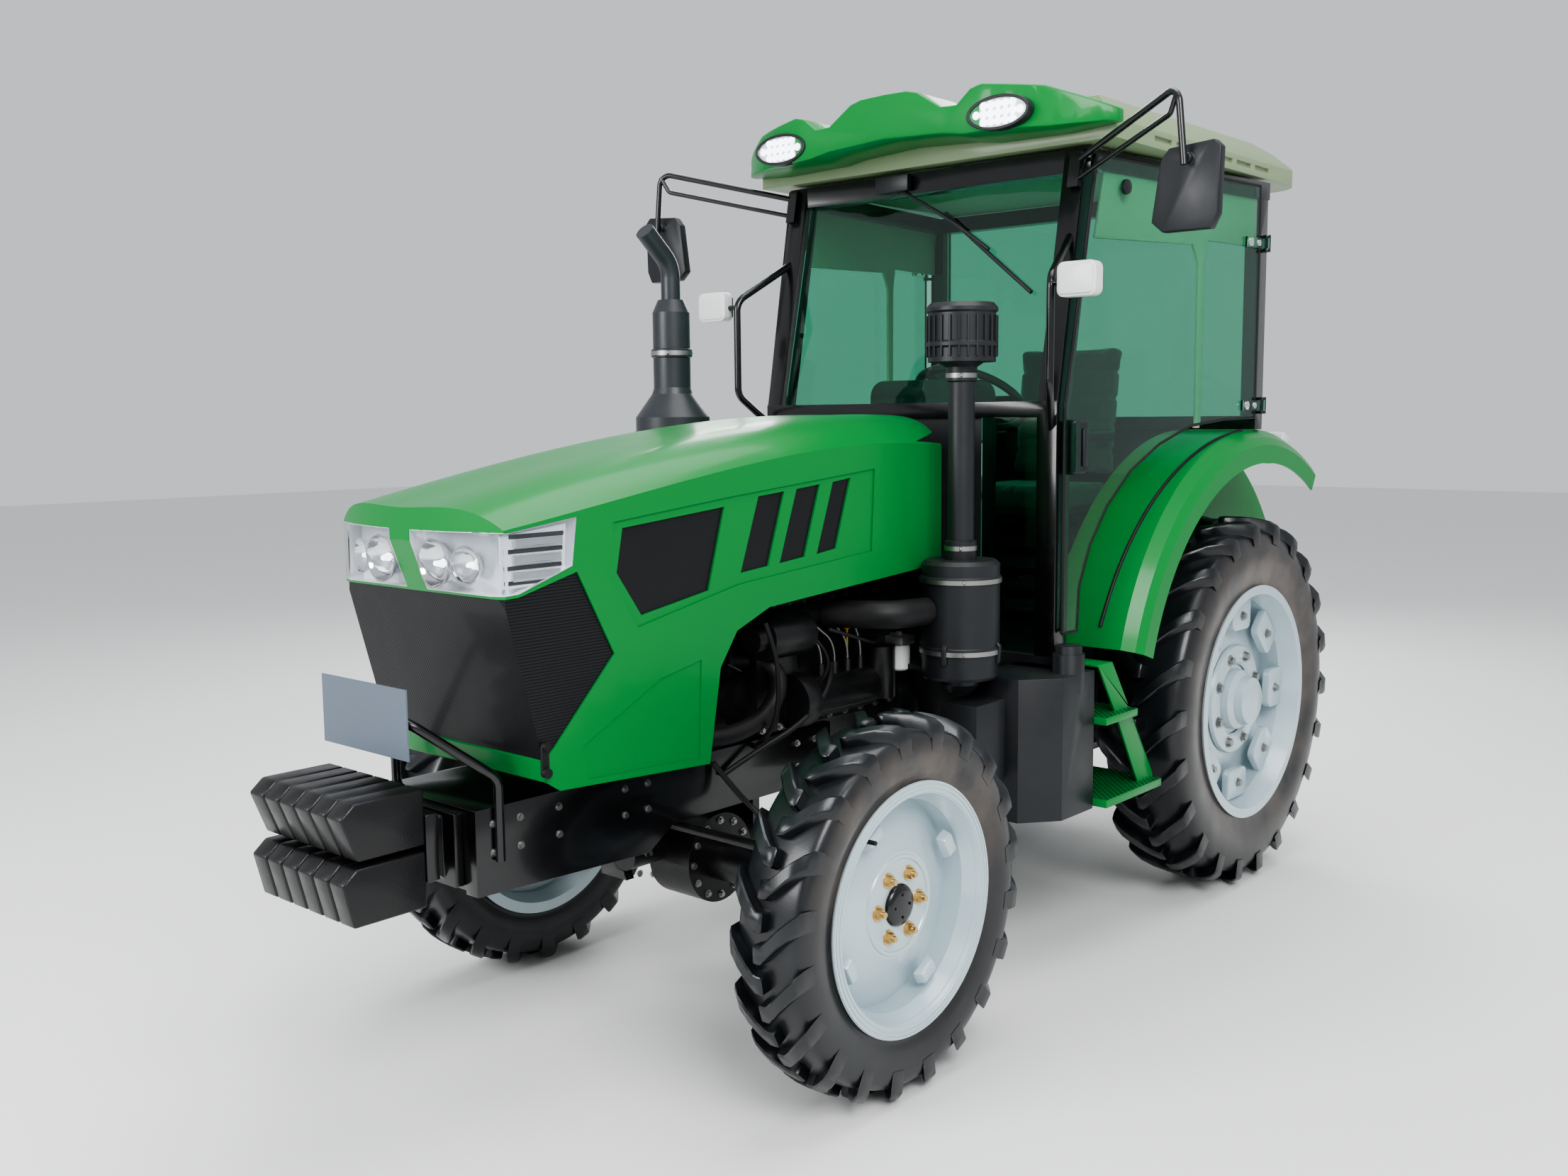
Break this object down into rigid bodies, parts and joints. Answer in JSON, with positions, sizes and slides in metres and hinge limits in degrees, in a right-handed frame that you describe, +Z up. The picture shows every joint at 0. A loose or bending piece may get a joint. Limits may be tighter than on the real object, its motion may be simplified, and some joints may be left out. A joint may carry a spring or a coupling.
{
  "type": "farm tractor",
  "caption": "Four-wheel-drive farm tractor with a glazed cab, a tilting hood, nose weights and a rear three-point linkage.",
  "frame": {"origin": "on the ground, at the middle of the tractor's length and width", "axes": "+X forward, +Y to the driver's left, +Z up"},
  "size_m": [4.4016, 2.29, 2.7699],
  "materials": {
    "green": "gloss paint",
    "sage": "satin",
    "beige": "matt",
    "tyre": "matt rubber",
    "silver": "satin paint",
    "black_cast": "satin paint",
    "black_paint": "gloss paint",
    "plastic": "satin",
    "hose": "matt",
    "seat_cloth": "woven",
    "lens": "clear",
    "glass": "clear, faint green",
    "plate": "matt, blank"
  },
  "bodies": {
    "chassis": {"air_cleaner": "plastic", "battery_box": "plastic", "bulkhead": "black_cast", "cab_floor": "black_paint", "cab_frame": "black_paint", "cab_lining": "beige", "dash": "plastic", "drawbar": "black_cast", "engine": "black_cast", "exhaust": "black_paint", "front_axle": "black_cast", "front_frame": "black_cast", "front_weights": "black_cast", "fuel_tank": "plastic", "grab_rails": "black_paint", "intake_hose": "hose", "intake_stack": "plastic", "left_fender": "green", "marker_lamps": "lens", "mirror_arms": "black_paint", "mirror_heads": "plastic", "number_plate": "plate", "plate_bar": "black_paint", "radiator": "black_cast", "rear_axle": "black_cast", "rear_window": "glass", "right_fender": "green", "roof": "sage", "seat": "seat_cloth", "side_brackets": "black_cast", "steps": "green", "transmission": "black_cast", "visor": "green", "weight_carrier": "black_cast", "windscreen": "glass", "work_lamps": "lens"},
    "hood_body": {"hood": "green", "grille": "plastic", "headlights": "lens", "side_grilles": "plastic"},
    "left_door_body": {"left_door": "glass"},
    "right_door_body": {"right_door": "glass"},
    "left_swivel": {"left_knuckle": "black_cast"},
    "right_swivel": {"right_knuckle": "black_cast"},
    "track_rod": {"tie_rod": "black_cast"},
    "front_left_wheel": {"front_left_tyre": "tyre", "front_left_rim": "silver"},
    "front_right_wheel": {"front_right_tyre": "tyre", "front_right_rim": "silver"},
    "rear_left_wheel": {"rear_left_tyre": "tyre", "rear_left_rim": "silver"},
    "rear_right_wheel": {"rear_right_tyre": "tyre", "rear_right_rim": "silver"},
    "hand_wheel": {"steering_wheel": "plastic"},
    "rockshaft": {"lift_arms": "black_cast"},
    "left_link": {"left_lower_link": "black_cast"},
    "right_link": {"right_lower_link": "black_cast"},
    "left_lifter": {"left_lift_rod": "black_cast"},
    "right_lifter": {"right_lift_rod": "black_cast"}
  },
  "joints": [
    {"name": "steer_left", "type": "hinge", "parent": "chassis", "child": "left_swivel", "pos_m": [0.966, 0.59, 0.497], "axis": [0, 0, 1], "range_deg": [-38, 38]},
    {"name": "steer_right", "type": "hinge", "parent": "chassis", "child": "right_swivel", "pos_m": [0.966, -0.59, 0.497], "axis": [0, 0, 1], "range_deg": [-38, 38]},
    {"name": "tie_rod_ball", "type": "hinge", "parent": "left_swivel", "child": "track_rod", "pos_m": [1.156, 0.59, 0.636], "axis": [0, 0, 1], "range_deg": [-38, 38]},
    {"name": "steering_wheel_turn", "type": "hinge", "parent": "chassis", "child": "hand_wheel", "pos_m": [-0.49, 0, 1.8], "axis": [-0.5299, 0, 0.848], "range_deg": [-456, 456]},
    {"name": "front_left_roll", "type": "hinge", "parent": "left_swivel", "child": "front_left_wheel", "pos_m": [0.966, 0.73, 0.497], "axis": [0, 1, 0], "continuous": true},
    {"name": "front_right_roll", "type": "hinge", "parent": "right_swivel", "child": "front_right_wheel", "pos_m": [0.966, -0.73, 0.497], "axis": [0, 1, 0], "continuous": true},
    {"name": "rear_left_roll", "type": "hinge", "parent": "chassis", "child": "rear_left_wheel", "pos_m": [-1.25, 0.612, 0.681], "axis": [0, 1, 0], "continuous": true},
    {"name": "rear_right_roll", "type": "hinge", "parent": "chassis", "child": "rear_right_wheel", "pos_m": [-1.25, -0.612, 0.681], "axis": [0, 1, 0], "continuous": true},
    {"name": "hood_tilt", "type": "hinge", "parent": "chassis", "child": "hood_body", "pos_m": [0.178, 0, 1.64], "axis": [0, -1, 0], "range_deg": [0, 50]},
    {"name": "left_door_swing", "type": "hinge", "parent": "chassis", "child": "left_door_body", "pos_m": [-1.24737, 0.74587, 2.05], "axis": [0, 0, 1], "range_deg": [0, 70]},
    {"name": "right_door_swing", "type": "hinge", "parent": "chassis", "child": "right_door_body", "pos_m": [-1.24737, -0.74587, 2.05], "axis": [0, 0, -1], "range_deg": [0, 70]},
    {"name": "lift", "type": "hinge", "parent": "chassis", "child": "rockshaft", "pos_m": [-1.45, 0, 1.02], "axis": [0, 1, 0], "range_deg": [-24, 28]},
    {"name": "left_link_lift", "type": "hinge", "parent": "chassis", "child": "left_link", "pos_m": [-1.45, 0.23, 0.44], "axis": [0, 1, 0], "range_deg": [-24, 28]},
    {"name": "right_link_lift", "type": "hinge", "parent": "chassis", "child": "right_link", "pos_m": [-1.45, -0.23, 0.44], "axis": [0, 1, 0], "range_deg": [-24, 28]},
    {"name": "left_rod_swing", "type": "hinge", "parent": "rockshaft", "child": "left_lifter", "pos_m": [-1.84374, 0.31848, 1.08636], "axis": [0, 1, 0], "range_deg": [-28, 24]},
    {"name": "right_rod_swing", "type": "hinge", "parent": "rockshaft", "child": "right_lifter", "pos_m": [-1.84374, -0.31848, 1.08636], "axis": [0, 1, 0], "range_deg": [-28, 24]}
  ],
  "couplings": [
    {"joint": "steer_right", "follows": "steer_left", "ratio": 1},
    {"joint": "tie_rod_ball", "follows": "steer_left", "ratio": -1},
    {"joint": "steering_wheel_turn", "follows": "steer_left", "ratio": 12},
    {"joint": "left_link_lift", "follows": "lift", "ratio": 1},
    {"joint": "right_link_lift", "follows": "lift", "ratio": 1},
    {"joint": "left_rod_swing", "follows": "lift", "ratio": -1},
    {"joint": "right_rod_swing", "follows": "lift", "ratio": -1}
  ]
}
